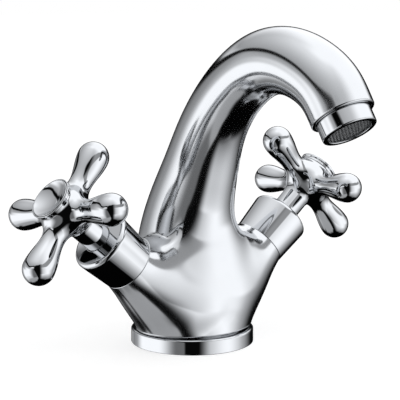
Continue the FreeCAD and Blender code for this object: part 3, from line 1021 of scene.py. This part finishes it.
# Each slot's base colour, metallic, roughness, its spread, noise scale, bump, tint and bands
material_rows = {
    "chrome_body": (chrome, 1.0, 0.105, 0.02, 90, 0.01, 0.01),
    "chrome_trim": (chrome, 1.0, 0.012, 0.015, 140, 0.006, 0.01),
    "chrome_handle": (chrome, 1.0, 0.012, 0.018, 120, 0.008, 0.01),
    "chrome_cap": (chrome, 1.0, 0.01, 0.012, 160, 0.004, 0.01),
    "valve_brass": ((0.78, 0.58, 0.27), 1.0, 0.18, 0.14, 400, 0.2, 0.06, 900),
    "mesh_steel": ((0.25, 0.255, 0.26), 1.0, 0.28, 0.15, 700, 0.2, 0.08),
    "screw_steel": ((0.56, 0.56, 0.58), 1.0, 0.25, 0.15, 500, 0.2, 0.05, 1200),
    "grey_plastic": ((0.10, 0.105, 0.11), 0.0, 0.45, 0.15, 900, 0.15, 0.10),
    "disc_ceramic": ((0.86, 0.85, 0.80), 0.0, 0.12, 0.08, 700, 0.05, 0.03),
    "black_rubber": ((0.022, 0.022, 0.024), 0.0, 0.6, 0.2, 1200, 0.4, 0.15),
}
materials = {slot: surface(slot, *row) for slot, row in material_rows.items()}

# The nodes shown by pieces of their own; the others keep their meshes and get better materials
replaced = {"body_casting", "base_ring", "aerator_collar", "aerator_mesh"}
for label in ("hot_", "cold_"):
    replaced.update((label + "bonnet", label + "handle", label + "cap"))
for row in frame["record"]["subparts"]:
    if row["node"] not in replaced:
        for held in frame["nodes"][row["node"]].material_slots:
            held.material = materials[row["material_slot"]]

level_place = Matrix.Identity(4)


def make(shell, name, place, body, slot, node):
    return shell.make(name, place, body, slot, materials[slot], [node])


make(body_shell(), "cast_body", level_place, "tap_body", "chrome_body", "body_casting")
make(ring_shell(), "deck_ring", level_place, "tap_body", "chrome_trim", "base_ring")
make(collar_shell(), "outlet_collar", outlet_matrix, "tap_body", "chrome_trim", "aerator_collar")
make(screen_shell(), "outlet_screen", outlet_matrix, "tap_body", "mesh_steel", "aerator_mesh")
handle = handle_shell()
bonnet = bonnet_shell()
cap = cap_shell()
for label, side, turn in (("hot", -1, hot_cross_turn), ("cold", 1, cold_cross_turn)):
    place = arm_matrix(side)
    group = label + "_handle_group"
    make(bonnet, label + "_bonnet_shell", place, "tap_body", "chrome_trim", label + "_bonnet")
    turned = place @ Matrix.Rotation(turn, 4, "Z")
    make(handle, label + "_cross_handle", turned, group, "chrome_handle", label + "_handle")
    make(cap, label + "_button_cap", place, group, "chrome_cap", label + "_cap")

# Camera at the photograph's viewing angle
camera = bpy.data.cameras.new("view")
camera.lens = camera_lens
camera.sensor_width = camera_sensor
viewer = add_object("view", camera)
viewer.location = camera_place
looking = Vector(camera_aim)
viewer.rotation_euler = looking.to_track_quat("-Z", "Y").to_euler()
bpy.context.scene.camera = viewer


# Display level to linear light, by the numbers of the sRGB standard
def linear(level):
    knee, slope, offset, power = 0.04045, 12.92, 0.055, 2.4
    return np.where(level <= knee, level / slope, ((level + offset) / (1 + offset)) ** power)


# Light of the studio towards each direction, painted panel by panel over plain white
def studio_light(bearing, height):
    light = np.ones(bearing.shape)
    for panel in studio_panels:
        stations = np.array(panel["at"], float)
        below, above = panel["soft"]
        before, after = panel["ends"]
        first = stations[0, 0]
        last = stations[-1, 0]
        middle = (first + last) / 2
        turn = np.where(bearing < middle - 180, bearing + 360, bearing)
        turn = np.where(turn > middle + 180, turn - 360, turn)
        low = np.interp(turn, stations[:, 0], stations[:, 1])
        high = np.interp(turn, stations[:, 0], stations[:, 2])
        cover = smooth_step(height, low - below, low)
        cover = cover * (1 - smooth_step(height, high, high + above))
        if before > 0:
            cover = cover * smooth_step(turn, first - before, first)
            cover = cover * (1 - smooth_step(turn, last, last + after))
        share = np.clip((height - low) / np.maximum(high - low, tiny), 0, 1)
        level = linear(panel["low"] + share * (panel["high"] - panel["low"]))
        light = light * (1 - cover) + level * cover
    return light


# Studio dome that only mirrors see
def studio_dome():
    bearings = np.radians(np.arange(0, 360, dome_step))
    heights = np.radians(np.arange(-90 + dome_step, 90, dome_step))
    turn, rise = np.meshgrid(bearings, heights, indexing="ij")
    columns, rows = turn.shape
    out = [np.cos(rise) * np.cos(turn), np.cos(rise) * np.sin(turn), np.sin(rise)]
    out = np.stack(out, axis=-1).reshape(-1, 3)
    out = np.concatenate([out, [(0, 0, -1), (0, 0, 1)]])
    faces = []
    for column in range(columns):
        here = column * rows
        after = (column + 1) % columns * rows
        for row in range(rows - 1):
            faces.append((here + row, here + row + 1, after + row + 1, after + row))
        faces.append((here, after, len(out) - 2))
        faces.append((after + rows - 1, here + rows - 1, len(out) - 1))
    mesh = bpy.data.meshes.new("studio_dome")
    mesh.from_pydata((out * dome_radius).tolist(), [], faces)
    ahead = math.degrees(math.atan2(looking.y, looking.x))
    bearing = (np.degrees(np.arctan2(out[:, 1], out[:, 0])) - ahead + 180) % 360 - 180
    light = studio_light(bearing, np.degrees(np.arcsin(np.clip(out[:, 2], -1, 1))))
    glow = mesh.attributes.new("glow", "FLOAT", "POINT")
    glow.data.foreach_set("value", (light * studio_power).astype(np.float32))
    material = bpy.data.materials.new("studio_glow")
    material.use_nodes = True
    nodes = material.node_tree.nodes
    nodes.clear()
    level = nodes.new("ShaderNodeAttribute")
    level.attribute_name = "glow"
    emission = nodes.new("ShaderNodeEmission")
    emission.inputs["Color"].default_value = studio_tint
    output = nodes.new("ShaderNodeOutputMaterial")
    material.node_tree.links.new(level.outputs["Fac"], emission.inputs["Strength"])
    material.node_tree.links.new(emission.outputs["Emission"], output.inputs["Surface"])
    material.cycles.emission_sampling = "NONE"
    mesh.materials.append(material)
    dome = add_object("studio_dome", mesh)
    dome.visible_camera = False
    dome.visible_diffuse = False
    dome.visible_transmission = False
    dome.visible_volume_scatter = False
    dome.visible_shadow = False


studio_dome()


# Strength of a light: one for rays from the camera, a mirror or glass, another for the rest
def ray_strength(tree, seen, unseen):
    path = tree.nodes.new("ShaderNodeLightPath")
    value = path.outputs["Is Camera Ray"]
    for name in ("Is Glossy Ray", "Is Transmission Ray"):
        either = tree.nodes.new("ShaderNodeMath")
        either.operation = "MAXIMUM"
        tree.links.new(value, either.inputs[0])
        tree.links.new(path.outputs[name], either.inputs[1])
        value = either.outputs["Value"]
    strength = tree.nodes.new("ShaderNodeMapRange")
    strength.inputs["To Min"].default_value = unseen
    strength.inputs["To Max"].default_value = seen
    tree.links.new(value, strength.inputs["Value"])
    return strength.outputs["Result"]


# World: white where seen or mirrored, softer as a light
world = bpy.data.worlds.new("studio")
bpy.context.scene.world = world
world.use_nodes = True
tree = world.node_tree
background = tree.nodes["Background"]
background.inputs["Color"].default_value = (1, 1, 1, 1)
tree.links.new(ray_strength(tree, 1.0, world_light), background.inputs["Strength"])

# Pale floor that keeps a soft shadow; mirrors look past it into the dome
floor_material = bpy.data.materials.new("studio_floor")
floor_material.use_nodes = True
tree = floor_material.node_tree
shader = tree.nodes["Principled BSDF"]
shader.inputs["Base Color"].default_value = (floor_color, floor_color, floor_color, 1)
shader.inputs["Roughness"].default_value = floor_roughness
shader.inputs["Specular IOR Level"].default_value = 0.0
shader.inputs["Emission Color"].default_value = (1, 1, 1, 1)
tree.links.new(ray_strength(tree, floor_glow, 0.0), shader.inputs["Emission Strength"])
floor_mesh = bpy.data.meshes.new("studio_floor")
floor_corners = [(x * floor_half, y * floor_half, 0)
                 for x, y in ((-1, -1), (1, -1), (1, 1), (-1, 1))]
floor_mesh.from_pydata(floor_corners, [], [(0, 1, 2, 3)])
floor_mesh.materials.append(floor_material)
floor = add_object("studio_floor", floor_mesh)
floor.visible_glossy = False

# Large soft lamp above the camera's right
lamp = bpy.data.lights.new("soft_lamp", "AREA")
lamp.shape = "DISK"
lamp.size = lamp_size
lamp.energy = lamp_power
lamp_object = add_object("soft_lamp", lamp)
lamp_object.location = lamp_place
lamp_object.rotation_euler = (-Vector(lamp_place)).to_track_quat("-Z", "Y").to_euler()
lamp_object.visible_glossy = False

bpy.context.scene.view_settings.view_transform = "Standard"
